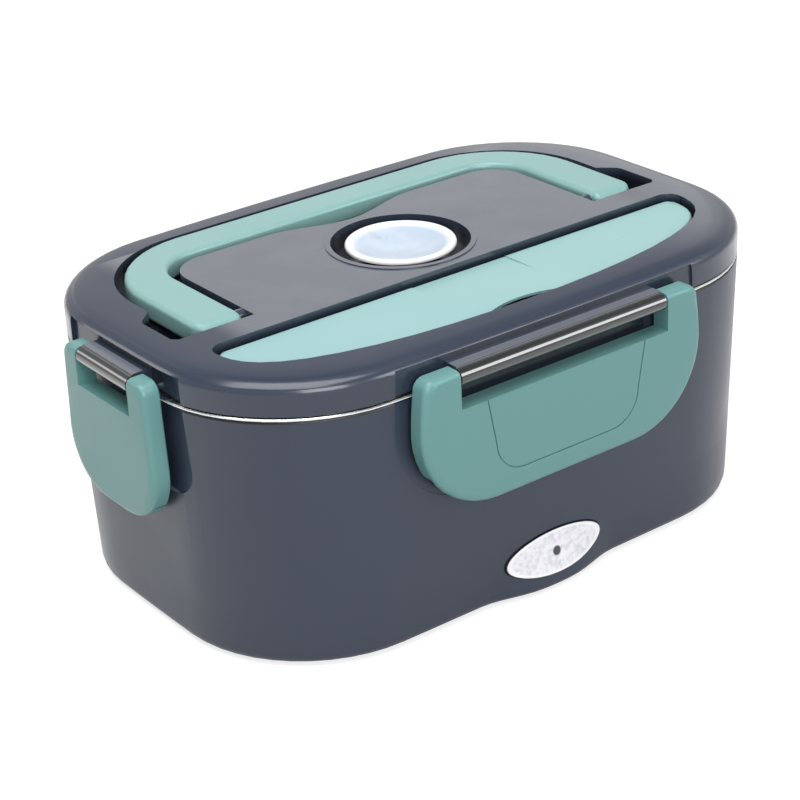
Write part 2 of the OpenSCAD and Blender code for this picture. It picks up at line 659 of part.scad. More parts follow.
plate_deep = 4.3;                     // how far the inner plate reaches into the bowl
module lid_inner_plate() {
    inset = flange_w + sheet + 0.9;
    color("#d5d8da") difference() {
        skin([rim_ring(inset + 1.5, lid_low - plate_deep), rim_ring(inset + 0.4, lid_low - plate_deep + 0.4),
            rim_ring(inset, lid_low - plate_deep + 1.5), rim_ring(inset, lid_low)]);
        difference() {
            skin([rim_ring(inset + 1.6, lid_low - plate_deep + 1.6), rim_ring(inset + 1.6, lid_low + 1)]);
            translate([0, vent_y, 0]) cylinder(r = steam_r + 2.5, h = far, $fn = 48);
        }
        translate([0, vent_y, 0]) cylinder(r = steam_r, h = far, $fn = 48);
    }
}
module lid_seal() {
    color(silicone) difference() {
        skin([rim_ring(seal_inset + 0.5, flange_top + seat - 0.2), rim_ring(seal_inset, flange_top + seat + 0.3),
            rim_ring(seal_inset, lid_low + seal_h)]);
        skin([rim_ring(seal_inset + seal_w - 0.5, flange_top), rim_ring(seal_inset + seal_w, flange_top + seat + 0.3),
            rim_ring(seal_inset + seal_w, lid_low + seal_h + 1)]);
    }
}

// ---------------------------------------------------------------- handle
leg_out_r = 6;                        // roundings of the legs' ends: outer and inner corner, above, below
leg_in_r = 2.5;
leg_top_r = 4.5;
leg_low_r = 4;
function sagitta(r, d) = r - sqrt(max(0, r * r - d * d));
// One section of the handle between an inner and an outer point of its plan.
function handle_section(p, q, low, high) =
    let (w = norm(q - p), u = (q - p) / w, r = min(2, (high - low) * 0.45))
    [for (c = [[r, low + r, 180], [w - r, low + r, 270], [w - r, high - r, 0], [r, high - r, 90]])
        for (k = [0 : 3]) let (a = c[2] + 30 * k, s = c.x + r * cos(a)) [p.x + u.x * s, p.y + u.y * s, c.y + r * sin(a)]];
// Sections from the end of the right leg to the middle of the bar.
function handle_half() =
    let (low = handle_top - handle_t, ix = handle_len / 2 - leg_w, iy = bar_back - bar_w,
         ci = [ix - handle_inner_r, iy - handle_inner_r],
         co = [handle_len / 2 - handle_outer_r, bar_back - handle_outer_r])
    concat(
        [for (s = [0, 0.3, 0.8, 1.5, 2.3, 3.2, 4.3, 6])
            handle_section([ix + sagitta(leg_in_r, max(0, leg_in_r - s)), s - leg_end],
                [handle_len / 2 - sagitta(leg_out_r, leg_out_r - s), s - leg_end],
                low + sagitta(leg_low_r, max(0, leg_low_r - s)),
                handle_top - sagitta(leg_top_r, max(0, leg_top_r - s)))],
        [for (k = [0 : 10]) let (a = 9 * k)
            handle_section(ci + handle_inner_r * [cos(a), sin(a)], co + handle_outer_r * [cos(a), sin(a)],
                low, handle_top)]);
module carry_handle() {
    half = handle_half();
    n = len(half);
    color(sage) {
        // the left half mirrors the right one, each section keeping its turn
        difference() {
            skin(concat([for (h = half) [for (p = h) [-p.x, p.y, p.z]]], [for (k = [n - 1 : -1 : 0]) half[k]]));
            for (s = [0, 1]) mirror([s, 0, 0]) translate([handle_len / 2 - leg_w - 1, pivot_y, pivot_z])
                rotate([0, 90, 0]) cylinder(r = trunnion_r + run, h = trunnion_len + 1.4, $fn = 48);
        }
    }
}

// ---------------------------------------------------------------- cutlery cover
dip_w = 41;                           // shallow thumb dip at the rear edge
dip_len = 18;
dip_deep = 0.7;
module cutlery_cover() {
    low = cover_seat + rest;
    notch_r = (pow(notch_half, 2) + pow(notch_deep, 2)) / (2 * notch_deep);
    color("#a9d2cb") difference() {
        skin([raise(cover_loop(0.4), low), raise(cover_loop(0), low + 0.4), raise(cover_loop(0), cover_top - 1.4),
            raise(cover_loop(0.2), cover_top - 0.7), raise(cover_loop(0.7), cover_top - 0.2), raise(cover_loop(1.4), cover_top)]);
        translate([0, 0, low - 1]) linear_extrude(cover_top - cover_t - low + 1) polygon(cover_outline(-1.6));
        // finger notch, wider below the top, and thumb dip
        translate([0, -cover_rear - cover_wid - notch_r + notch_deep, low - 1]) {
            cylinder(r = notch_r, h = 20, $fn = 160);
            cylinder(r = notch_r + 2.6, h = cover_top - notch_lip - low + 1, $fn = 160);
        }
        translate([-dip_w / 2, -cover_rear, cover_top - dip_deep]) rotate([-atan(dip_deep / dip_len), 0, 0])
            translate([0, -40, 0]) cube([dip_w, 45, 5]);
    }
}
function cover_loop(inset) = reversed(cover_outline(-inset));
function reversed(points) = [for (i = [len(points) - 1 : -1 : 0]) points[i]];

// ---------------------------------------------------------------- vent plug
module vent_plug() {
    top = lid_top + 0.3;
    rim = 2.2;
    color(silicone) translate([0, vent_y, 0]) rotate_extrude($fn = 96) polygon(concat(
        [[0, lid_low - plate_deep + 2], [steam_r - 1.2, lid_low - plate_deep + 2], [steam_r - seat, lid_low - plate_deep + 4]],
        [[steam_r - seat, well_floor + rest], [steam_r + 3, well_floor + rest], [plug_r - 2.5, top - 3]],
        arc([plug_r - 1.2, top - 1.2], 1.2, -20, 150, 8),
        [for (i = [0 : 8]) let (t = i / 8, r = (plug_r - rim - 1) * (1 - t)) [r, top - 1 - 3.2 * (1 - pow(r / (plug_r - rim - 1), 2))]]));
}

// ---------------------------------------------------------------- latches
latch_skin = 2.4;
rib_x = 0.5;                          // length of the catch rib, as a share of the slot
groove = 0.5;
// Tapering outline of the groove, with its open end in the slot.
function panel_outline(hx, low, inset) =
    let (t = hx - inset, w = hx * 0.9 - inset, r = 12 - inset, l = low + inset)
    concat([[t, -slot_low + 2]], [[-t, -slot_low + 2]],
        arc([-w + r, l + r], r, 180, 270, 8), arc([w - r, l + r], r, 270, 360, 8));
module latch(angle, w, slot_w, drop, r, deep, panel) {
    hs = slot_w / 2;
    edge = 2.2;
    rib_tip = -hinge_out - deep + bead_r + fit;
    at_side(angle) difference() {
        union() {
            difference() {
                rotate([90, 0, 180]) translate([0, 0, latch_face - latch_t])
                    skin([for (e = [[0.5, 0], [0, 0.5], [0, latch_t - edge], [edge * 0.13, latch_t - edge * 0.5],
                        [edge * 0.37, latch_t - edge * 0.22], [edge, latch_t]])
                        raise(latch_outline(w, drop, r, e[0]), e[1])]);
                // slot for the tongue
                translate([-hs, -far / 2, -slot_low]) cube([slot_w, far, 60]);
                // hollow back
                translate([-w / 2 + 3, latch_face - latch_t - 1, -drop + 4 + latch_skin])
                    cube([w - 6, latch_t - latch_skin + 1, drop - slot_low - 7 - latch_skin]);
                if (panel) translate([0, latch_face - groove, 0]) rotate([90, 0, 180])
                    linear_extrude(5) difference() {
                        polygon(panel_outline(34.6, -drop + 8, 0));
                        polygon(panel_outline(34.6, -drop + 8, groove));
                    }
            }
            for (s = [-1, 1]) translate([s * hs, 0, 0]) rotate([0, -s * 90, 0]) translate([0, 0, -2])
                cylinder(r = stub_r, h = stub_len + 2, $fn = 48);
            translate([-slot_w * rib_x / 2, rib_tip, bead_z - bead_r - 1.9])
                cube([slot_w * rib_x, latch_face - latch_skin - rib_tip + eps, 1.6]);
        }
    }
}

module long_latch(angle)
    color(sage) latch(angle, long_latch_w, long_slot_w, long_drop, long_corner, long_facet, true);
module end_latch(angle)
    color(sage) latch(angle, end_latch_w, end_slot_w, end_drop, end_corner, end_facet, false);
module latch_front() { long_latch(0); }
module latch_back() { long_latch(180); }
module latch_left() { end_latch(270); }
module latch_right() { end_latch(90); }

// ---------------------------------------------------------------- socket cover
socket_proud = 0.6;
module socket_cover() {
    color("#dfe3ea") intersection() {
        oval_prism(mouth_hx - seat, mouth_hz - seat, -far / 2, -inlet_face - pin_free - 0.5);
        difference() {
            body_form(socket_proud);
            body_form(-1.2);
        }
    }
}

base_shell();
inner_liner();
heating_plate();
ptc_heater();
heater_clamp();
clamp_screws();
thermostat();
thermal_fuse();
inlet_housing();
inlet_pins();
heater_leads();
bottom_cover();
bottom_screws();
rubber_feet();
steel_bowl();
lid_shell();
lid_inner_plate();
lid_seal();
carry_handle();
cutlery_cover();
vent_plug();
latch_front();
latch_back();
latch_left();
latch_right();
socket_cover();
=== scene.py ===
"""Electric lunch box: finishes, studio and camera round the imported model."""
import math

import bpy
from mathutils import Matrix, Vector


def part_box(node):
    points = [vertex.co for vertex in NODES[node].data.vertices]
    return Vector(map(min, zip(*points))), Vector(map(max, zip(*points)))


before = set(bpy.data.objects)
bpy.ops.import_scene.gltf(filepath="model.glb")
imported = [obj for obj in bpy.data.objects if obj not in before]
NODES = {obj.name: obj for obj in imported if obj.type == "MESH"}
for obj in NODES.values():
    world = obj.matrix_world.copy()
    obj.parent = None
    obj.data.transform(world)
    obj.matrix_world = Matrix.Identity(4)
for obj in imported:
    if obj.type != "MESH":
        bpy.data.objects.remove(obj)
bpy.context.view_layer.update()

MM = 0.001
WHITE = (1.0, 1.0, 1.0, 1.0)

# ---------------------------------------------------------------- node helpers


class Graph:
    """A few short calls for building a node tree; most give back the new node's result."""

    SCALAR_RESULTS = ("LENGTH", "DISTANCE", "DOT_PRODUCT")

    def __init__(self, tree):
        self.tree = tree

    def put(self, socket, value):
        """Sets a socket to a value, or links it to another node's socket."""
        if isinstance(value, bpy.types.NodeSocket):
            self.tree.links.new(value, socket)
        else:
            socket.default_value = value

    def add(self, kind, inputs=None, **settings):
        """The new node itself, with its settings and then its inputs."""
        node = self.tree.nodes.new(kind)
        for name, value in settings.items():
            setattr(node, name, value)
        for name, value in (inputs or {}).items():
            self.put(node.inputs[name], value)
        return node

    def place(self):
        """The place on the piece, in the piece's own coordinates."""
        return self.add("ShaderNodeTexCoord").outputs["Object"]

    def split(self, vector):
        return self.add("ShaderNodeSeparateXYZ", {0: vector}).outputs

    def upward(self):
        """How far a face looks up: 1 for a level top, 0 for a wall."""
        return self.split(self.add("ShaderNodeNewGeometry").outputs["Normal"])["Z"]

    def vector(self, operation, a, b=(0.0, 0.0, 0.0)):
        result = "Value" if operation in self.SCALAR_RESULTS else "Vector"
        return self.add("ShaderNodeVectorMath", {0: a, 1: b}, operation=operation).outputs[result]

    def maths(self, operation, a, b=0.0, clamp=False):
        return self.add("ShaderNodeMath", {0: a, 1: b}, operation=operation, use_clamp=clamp).outputs[0]

    def times(self, product, *factors):
        for factor in factors:
            product = self.maths("MULTIPLY", product, factor)
        return product

    def larger(self, a, b):
        return self.maths("MAXIMUM", a, b)

    def over(self, value, level):
        """1 where the value is over the level, else 0."""
        return self.maths("GREATER_THAN", value, level)

    def under(self, value, level):
        """1 where the value is under the level, else 0."""
        return self.maths("LESS_THAN", value, level)

    def noise(self, vector, scale, detail):
        inputs = {"Vector": vector, "Scale": scale, "Detail": detail}
        return self.add("ShaderNodeTexNoise", inputs).outputs["Fac"]

    def spread(self, value, low, high, from_low=0.0, from_high=1.0, course="SMOOTHSTEP"):
        """Takes from_low to low and from_high to high, and holds both ends."""
        inputs = {0: value, 1: from_low, 2: from_high, 3: low, 4: high}
        return self.add("ShaderNodeMapRange", inputs, interpolation_type=course).outputs[0]

    def mix_colour(self, mask, a, b):
        """Colour a where the mask is 0, b where it is 1."""
        node = self.add("ShaderNodeMix", data_type="RGBA")
        for name, value in (("Factor", mask), ("A", a), ("B", b)):
            self.put(node.inputs[name], value)
        return node.outputs["Result"]


def colour(code):
    """Linear colour from a six-digit sRGB code."""
    parts = [int(code[i:i + 2], 16) / 255 for i in (0, 2, 4)]
    return tuple(c / 12.92 if c <= 0.04045 else ((c + 0.055) / 1.055) ** 2.4 for c in parts) + (1.0,)


def new_group(name, inputs, outputs):
    """An empty shader group and its inner sockets; inputs are {name: default}, outputs are names."""
    tree = bpy.data.node_groups.new(name, "ShaderNodeTree")
    for label, value in inputs.items():
        socket = tree.interface.new_socket(label, in_out="INPUT", socket_type="NodeSocketFloat")
        socket.default_value = value
    for label in outputs:
        tree.interface.new_socket(label, in_out="OUTPUT", socket_type="NodeSocketFloat")
    graph = Graph(tree)
    return graph, graph.add("NodeGroupInput").outputs, graph.add("NodeGroupOutput").inputs


def moulded_grain():
    """Fine moulded texture: a grain height, and gloss that wanders where hands have been."""
    g, given, out = new_group(
        "moulded grain", {"Grain scale": 2500.0, "Gloss low": 0.35, "Gloss high": 0.5},
        ["Roughness", "Height"])
    place = g.place()
    smudge = g.noise(place, scale=22.0, detail=4.0)
    g.put(out["Roughness"], g.spread(
        smudge, given["Gloss low"], given["Gloss high"], from_low=0.35, from_high=0.65, course="LINEAR"))
    g.put(out["Height"], g.noise(place, given["Grain scale"], detail=1.0))
    return g.tree


def brushed_lines():
    """Brush marks that run round upright walls and straight along flat ones."""
    marks_along, tilt = 12.0, 0.7  # marks per metre of their run; how much of y goes into their spacing
    g, given, out = new_group(
        "brushed lines", {"Line scale": 1500.0, "Gloss low": 0.2, "Gloss high": 0.4},
        ["Roughness", "Height"])
    parts = g.split(g.place())
    across = g.times(g.maths("ADD", parts["Z"], g.times(parts["Y"], tilt)), given["Line scale"])
    drawn = g.add("ShaderNodeCombineXYZ", {"X": g.times(parts["X"], marks_along), "Y": across}).outputs[0]
    lines = g.noise(drawn, scale=1.0, detail=3.0)
    g.put(out["Roughness"], g.spread(
        lines, given["Gloss low"], given["Gloss high"], from_low=0.3, from_high=0.7, course="LINEAR"))
    g.put(out["Height"], lines)
    return g.tree


def pale_dust_and_sheen():
    """A mask of pale dust and painted sheen on faces that look straight up."""
    g, given, out = new_group("pale dust and sheen", {"Amount": 0.1}, ["Mask"])
    level = g.spread(g.upward(), 0.0, 1.0, from_low=0.97, from_high=0.9995)
    cloud = g.spread(g.noise(g.place(), scale=60.0, detail=5.0), 0.72, 1.0, from_low=0.3, from_high=0.8)
    g.put(out["Mask"], g.times(level, cloud, given["Amount"]))
    return g.tree


def band_mask():
    """A mask over the heights between two levels, each with a soft edge."""
    g, given, out = new_group("band mask", {"Low": 0.0, "High": 1.0, "Soft": 0.001}, ["Mask"])
    height = g.split(g.place())["Z"]
    above = g.maths("DIVIDE", g.maths("SUBTRACT", height, given["Low"]), given["Soft"], clamp=True)
    below = g.maths("DIVIDE", g.maths("SUBTRACT", given["High"], height), given["Soft"], clamp=True)
    g.put(out["Mask"], g.times(above, below))
    return g.tree


GRAIN, BRUSH, DUST_AND_SHEEN_MASK, BAND = moulded_grain(), brushed_lines(), pale_dust_and_sheen(), band_mask()

# ---------------------------------------------------------------- finishes


def finish(name, base, **shader):
    """A new material, its graph and its Principled shader, with the values set on the shader's sockets."""
    material = bpy.data.materials.new(name)
    material.use_nodes = True
    g = Graph(material.node_tree)
    principled = g.tree.nodes["Principled BSDF"]
    g.put(principled.inputs["Base Color"], base)
    for label, value in shader.items():
        g.put(principled.inputs[label.replace("_", " ").title().replace("Ior", "IOR")], value)
    return material, g, principled


def texture(g, principled, group, values, bump, height_mm):
    """Puts a group's roughness and height on a shader, and gives the roughness back."""
    made = g.add("ShaderNodeGroup", values, node_tree=group).outputs
    g.put(principled.inputs["Roughness"], made["Roughness"])
    relief = {"Strength": bump, "Distance": height_mm * MM, "Height": made["Height"]}
    g.put(principled.inputs["Normal"], g.add("ShaderNodeBump", relief).outputs[0])
    return made["Roughness"]


def grain(g, principled, scale, gloss, bump=0.12, height_mm=0.03):
    values = {"Grain scale": scale, "Gloss low": gloss[0], "Gloss high": gloss[1]}
    return texture(g, principled, GRAIN, values, bump, height_mm)


def brush(g, principled, scale, gloss):
    values = {"Line scale": scale, "Gloss low": gloss[0], "Gloss high": gloss[1]}
    return texture(g, principled, BRUSH, values, bump=0.1, height_mm=0.02)


def plastic(name, code, gloss, scale, bump=0.12, **shader):
    """Moulded plastic with grain."""
    material, g, principled = finish(name, colour(code), **shader)
    grain(g, principled, scale, gloss, bump)
    return material


def metal(name, code, gloss, scale):
    """Bare metal with brush marks."""
    material, g, principled = finish(name, colour(code), metallic=1.0)
    brush(g, principled, scale, gloss)
    return material


def band(g, low, high, soft):
    values = {"Low": low, "High": high, "Soft": soft}
    return g.add("ShaderNodeGroup", values, node_tree=BAND).outputs["Mask"]


def rounded_inside(g, away, half_x, half_y, radius):
    """1 inside an upright rounded block round the middle, else 0; away is the distance from the middle."""
    past = {axis: g.larger(g.maths("SUBTRACT", away[axis], half - radius), 0.0)
            for axis, half in (("X", half_x), ("Y", half_y))}
    return g.under(g.vector("LENGTH", g.add("ShaderNodeCombineXYZ", past).outputs[0]), radius)


def near_outside(g, away, box_high, depth):
    """1 within a depth of a box's sides, else 0; away is the distance from the middle."""
    return g.larger(g.over(away["X"], box_high[0] - depth), g.over(away["Y"], box_high[1] - depth))


SLATE, SHADE, GREY_DUST_AND_SHEEN = colour("323a4a"), colour("14181d"), colour("a9adb5")
SLATE_GRAIN, SLATE_DUST_AND_SHEEN = 2200.0, 0.2
FLANGE_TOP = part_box("steel_bowl")[1][2]
# Painted shade in the seam round the bowl's flange: how far below and above its top, and the soft edge
SEAM_BELOW, SEAM_ABOVE, SEAM_SOFT = 1.9 * MM, 1.0 * MM, 0.25 * MM
# Painted shade on the wall behind the latches' slots: half widths at the long and the short sides, lowest
# level, soft edge and strength
LONG_SLOT, SHORT_SLOT, SLOT_LOW, SLOT_SOFT, SLOT_SHADE = 42 * MM, 14 * MM, 83 * MM, 2 * MM, 0.7
# The lid's recess: half length, half width and corner; then how far it stays inside the lid's lowest and
# highest levels, its soft edge and the strength of its painted shade
RECESS_X, RECESS_Y, RECESS_CORNER = 110 * MM, 69 * MM, 42 * MM
RECESS_LEVELS, RECESS_SOFT, RECESS_SHADE = 1.2 * MM, 2.5 * MM, 0.8
# How deep the hinge tongues and their barrels lie within the lid's outer box
TONGUE_DEPTH, BARREL_DEPTH = 7 * MM, 3.1 * MM
BARREL_ROUGH, BARREL_COAT_ROUGH = 0.12, 0.06


def slate(name, gloss):
    """The body's slate plastic: its material, graph, shader, roughness and mask of pale dust and painted
    sheen.
    """
    material, g, principled = finish(name, SLATE, coat_weight=0.15, coat_roughness=0.25)
    rough = grain(g, principled, SLATE_GRAIN, gloss)
    dust_and_sheen = g.add("ShaderNodeGroup", {"Amount": SLATE_DUST_AND_SHEEN}, node_tree=DUST_AND_SHEEN_MASK).outputs["Mask"]
    return material, g, principled, rough, dust_and_sheen


def slate_tint(g, dust_and_sheen):
    """Slate under pale dust and painted sheen, with painted shade in the seam round the bowl's flange."""
    # painted shade in the seam round the bowl's flange
    seam_shade = band(g, FLANGE_TOP - SEAM_BELOW, FLANGE_TOP + SEAM_ABOVE, SEAM_SOFT)
    return g.mix_colour(seam_shade, g.mix_colour(dust_and_sheen, SLATE, GREY_DUST_AND_SHEEN), SHADE)


def body_finish():
    """The body's slate, with painted shade on the wall behind the four latches' slots."""
    material, g, principled, _, dust_and_sheen = slate("body slate", (0.30, 0.42))
    away = g.split(g.vector("ABSOLUTE", g.place()))
    behind = g.larger(g.under(away["X"], LONG_SLOT), g.under(away["Y"], SHORT_SLOT))
    # painted shade on the body's wall behind the latches' slots
    slot_shade = g.times(band(g, SLOT_LOW, FLANGE_TOP, SLOT_SOFT), behind, SLOT_SHADE)
    g.put(principled.inputs["Base Color"], g.mix_colour(slot_shade, slate_tint(g, dust_and_sheen), SHADE))
    return material


def lid_finish():
    """The lid's slate: painted shade in its recess and on its hinge barrels, pale dust and painted sheen on
    its deck, and polished hinge barrels.
    """
    material, g, principled, rough, dust_and_sheen = slate("lid slate", (0.18, 0.28))
    low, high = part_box("lid_shell")
    place, up = g.place(), g.upward()
    signed, away = g.split(place), g.split(g.vector("ABSOLUTE", place))

    # pale dust and painted sheen lie on the deck inside the handle's loop, on the rim's right end and on
    # the tongues
    deck_low, deck_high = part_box("cutlery_cover")[1][1] - 1.0 * MM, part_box("carry_handle")[1][1]
    deck = g.times(
        g.spread(away["X"], 1.0, 0.0, from_low=80 * MM, from_high=94 * MM),
        g.over(signed["Y"], deck_low), g.under(signed["Y"], deck_high))
    # painted sheen: paler towards the rim's right end
    right_end_sheen = g.spread(signed["X"], 0.0, 0.8, from_low=60 * MM, from_high=110 * MM)
    tongues = near_outside(g, away, high, TONGUE_DEPTH)
    tongue_dust_and_sheen = g.times(tongues, g.spread(up, 0.0, 0.3, from_low=0.6, from_high=0.95))
    tint = slate_tint(g, g.larger(g.times(dust_and_sheen, g.larger(deck, right_end_sheen)), tongue_dust_and_sheen))

    # painted shade inside the lid's recess
    levels = band(g, low[2] + RECESS_LEVELS, high[2] - RECESS_LEVELS, RECESS_SOFT)
    recess_shade = g.times(levels, rounded_inside(g, away, RECESS_X, RECESS_Y, RECESS_CORNER), RECESS_SHADE)
    # the hinge barrels get painted shade in their colour and a polished gloss below
    barrel = near_outside(g, away, high, BARREL_DEPTH)
    tint = g.mix_colour(barrel, g.mix_colour(recess_shade, tint, SHADE), SHADE)
    g.put(principled.inputs["Base Color"], tint)

    # the rim's flat top is duller than its roll, most of all towards the left
    flat = g.times(g.spread(up, 0.0, 1.0, from_low=0.93, from_high=0.99), g.maths("SUBTRACT", 1.0, deck))
    dull = g.times(flat, g.spread(signed["X"], 1.0, 0.0, from_low=30 * MM, from_high=110 * MM))
    g.put(principled.inputs["Specular IOR Level"], g.larger(g.spread(dull, 0.5, 0.2), barrel))
    g.put(principled.inputs["Coat Weight"], g.larger(g.spread(dull, 0.35, 0.1), barrel))
    g.put(principled.inputs["Roughness"], g.spread(barrel, rough, BARREL_ROUGH))
    g.put(principled.inputs["Coat Roughness"], g.spread(barrel, 0.1, BARREL_COAT_ROUGH))
    return material


def bowl_steel():
    """Brushed steel with a painted highlight on its rolled rim edge."""
    steel, glint_white, glint_metallic = colour("d2d4d6"), colour("f4f5f6"), 0.3
    rim_height, steepest = 2.0 * MM, 0.7  # height of the painted highlight on the edge, and how far its faces may look up
    material, g, principled = finish("bowl steel", steel, metallic=1.0)
    brush(g, principled, 1400.0, (0.16, 0.34))
    upright = g.under(g.maths("ABSOLUTE", g.upward()), steepest)
    # painted highlight on the upright faces at the top of the rim
    rim_glint = g.times(g.over(g.split(g.place())["Z"], FLANGE_TOP - rim_height), upright)
    g.put(principled.inputs["Metallic"], g.spread(rim_glint, 1.0, glint_metallic))
    g.put(principled.inputs["Base Color"], g.mix_colour(rim_glint, steel, glint_white))
    return material


def seal_silicone():
    """Plain milky silicone."""
    material, g, principled = finish(
        "seal silicone", colour("e6eaf0"), subsurface_weight=0.3, subsurface_scale=0.004)
    grain(g, principled, 1800.0, (0.45, 0.6), bump=0.1)
    return material


def vent_silicone():
    """Milky silicone, cooler and darker in its dished middle."""
    low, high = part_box("vent_plug")
    middle = Vector(((low[0] + high[0]) / 2, (low[1] + high[1]) / 2, 0))
    radius = (high[0] - low[0]) / 2
    material, g, principled = finish(
        "vent silicone", colour("eef1f5"), subsurface_weight=0.25, subsurface_scale=0.003, coat_weight=0.2,
        coat_roughness=0.3)
    grain(g, principled, 1500.0, (0.25, 0.4), bump=0.08)
    place = g.place()
    reach = g.vector("DISTANCE", g.vector("MULTIPLY", place, (1, 1, 0)), middle)
    dish = g.spread(reach, 1.0, 0.0, from_low=radius * 0.76, from_high=radius * 0.92)
    cloud = g.spread(g.noise(place, scale=90.0, detail=3.0), 0.0, 0.35, from_low=0.4, from_high=0.7)
    dish_tint = g.mix_colour(cloud, colour("b8c6d6"), colour("dbe2ec"))
    g.put(principled.inputs["Base Color"], g.mix_colour(dish, colour("f2f4f7"), dish_tint))
    return material


def frosted_cover():
    """Frosted oval cover: mottled field, painted highlight on its rim, painted shade round its outline and
    a dark moulding point.
    """
    low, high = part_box("socket_cover")
    middle = Vector(((low[0] + high[0]) / 2, 0, (low[2] + high[2]) / 2))
    half = Vector(((high[0] - low[0]) / 2, 1, (high[2] - low[2]) / 2))
    material, g, principled = finish("frosted cover", colour("e4e6ec"), coat_weight=0.4, coat_roughness=0.1)
    grain(g, principled, 1100.0, (0.18, 0.4), bump=0.3, height_mm=0.06)
    place = g.place()
    flat = g.vector("MULTIPLY", g.vector("SUBTRACT", place, middle), (1, 0, 1))
    reach = g.vector("LENGTH", g.vector("DIVIDE", flat, half))  # 1 on the oval's outline
    # painted highlight on the rim and painted shade round the outline
    rim_glint = g.spread(reach, 0.0, 1.0, from_low=0.84, from_high=0.9)
    outline_shade = g.spread(reach, 0.0, 1.0, from_low=0.965, from_high=0.985)
    point = g.spread(g.vector("LENGTH", flat), 1.0, 0.0, from_low=1.4 * MM, from_high=2.0 * MM)
    mottle = g.spread(g.noise(place, scale=520.0, detail=5.0), 0.0, 1.0, from_low=0.35, from_high=0.6)
    tint = g.mix_colour(mottle, colour("dedde5"), colour("f6f4fa"))
    for mask, code in ((rim_glint, "fdfdff"), (outline_shade, "22262c"), (point, "3a3d46")):
        tint = g.mix_colour(mask, tint, colour(code))
    g.put(principled.inputs["Base Color"], tint)
    return material


# Name, colour, lowest and highest roughness, grain or brush marks per metre
sage = plastic("sage plastic", "84aeab", (0.30, 0.42), 2600.0, coat_weight=0.15, coat_roughness=0.3)
latch_sage = plastic("latch plastic", "649593", (0.30, 0.42), 2600.0, coat_weight=0.15, coat_roughness=0.3)
pale_sage = plastic(
    "pale sage plastic", "8fb9b9", (0.26, 0.38), 2600.0, coat_weight=0.2, coat_roughness=0.25)
black = plastic("black plastic", "23272c", (0.45, 0.6), 1800.0)
liner_grey = plastic("liner plastic", "3c454e", (0.5, 0.62), 1600.0)
plate_grey = plastic("inner plate plastic", "d5d8da", (0.3, 0.4), 2600.0)
brown_case = plastic("thermostat case", "5a4632", (0.4, 0.5), 2400.0)
foot_rubber = plastic("foot rubber", "1d2023", (0.75, 0.85), 3000.0, bump=0.3)
lead_sleeve = plastic("lead sleeve", "9c2b2a", (0.45, 0.55), 3000.0)
ceramic = plastic("heater foil", "d8d2c4", (0.35, 0.5), 900.0)
screw_steel = metal("screw steel", "b9bbbd", (0.3, 0.4), 2500.0)
pin_metal = metal("pin metal", "cfc9b4", (0.2, 0.3), 2500.0)
aluminium = metal("aluminium", "c3c6c9", (0.35, 0.5), 900.0)
body_slate = body_finish()

# Finish, then the angle in degrees above which an edge stays sharp
FINISHES = {
    "base_shell": (body_slate, 32), "bottom_cover": (body_slate, 32), "lid_shell": (lid_finish(), 32),
    "carry_handle": (sage, 35), "cutlery_cover": (pale_sage, 32),
    "latch_front": (latch_sage, 32), "latch_back": (latch_sage, 32), "latch_left": (latch_sage, 32),
    "latch_right": (latch_sage, 32),
    "inner_liner": (liner_grey, 32), "inlet_housing": (black, 32), "lid_inner_plate": (plate_grey, 32),
    "thermostat": (brown_case, 32), "rubber_feet": (foot_rubber, 40), "heater_leads": (lead_sleeve, 60),
    "ptc_heater": (ceramic, 32), "steel_bowl": (bowl_steel(), 40), "clamp_screws": (screw_steel, 32),
    "bottom_screws": (screw_steel, 32), "inlet_pins": (pin_metal, 40), "heating_plate": (aluminium, 32),
    "heater_clamp": (aluminium, 32), "thermal_fuse": (aluminium, 32), "lid_seal": (seal_silicone(), 40),
    "vent_plug": (vent_silicone(), 40), "socket_cover": (frosted_cover(), 40),
}
# Width in millimetres of the softened edges of the moulded pieces
SOFT_EDGES = {
    "lid_shell": 0.5, "base_shell": 0.4, "cutlery_cover": 0.3, "latch_front": 0.4, "latch_back": 0.4,
    "latch_left": 0.4, "latch_right": 0.4,
}
SOFTEN_ABOVE = 38  # degrees; edges bent by less aren't softened
WELD_REACH = 0.002 * MM


def smooth_by_angle():
    """Geometry nodes that shade smooth, apart from edges bent by more than the given angle."""
    tree = bpy.data.node_groups.new("smooth by angle", "GeometryNodeTree")
    tree.interface.new_socket("Geometry", in_out="INPUT", socket_type="NodeSocketGeometry")
    tree.interface.new_socket("Angle", in_out="INPUT", socket_type="NodeSocketFloat")
    tree.interface.new_socket("Geometry", in_out="OUTPUT", socket_type="NodeSocketGeometry")
    g = Graph(tree)
    given = g.add("NodeGroupInput").outputs
    bend = g.add("GeometryNodeInputMeshEdgeAngle").outputs["Unsigned Angle"]
    soft = g.add(
        "FunctionNodeCompare", {"A": bend, "B": given["Angle"]}, data_type="FLOAT", operation="LESS_EQUAL")
    faces = g.add(
        "GeometryNodeSetShadeSmooth",
        {"Geometry": given["Geometry"], "Shade Smooth": True}, domain="FACE")
    edges = g.add(
        "GeometryNodeSetShadeSmooth",
        {"Geometry": faces.outputs[0], "Shade Smooth": soft.outputs["Result"]}, domain="EDGE")
    g.put(g.add("NodeGroupOutput").inputs["Geometry"], edges.outputs[0])
    return tree


SMOOTH = smooth_by_angle()
ANGLE_INPUT = next(s.identifier for s in SMOOTH.interface.items_tree if s.name == "Angle")


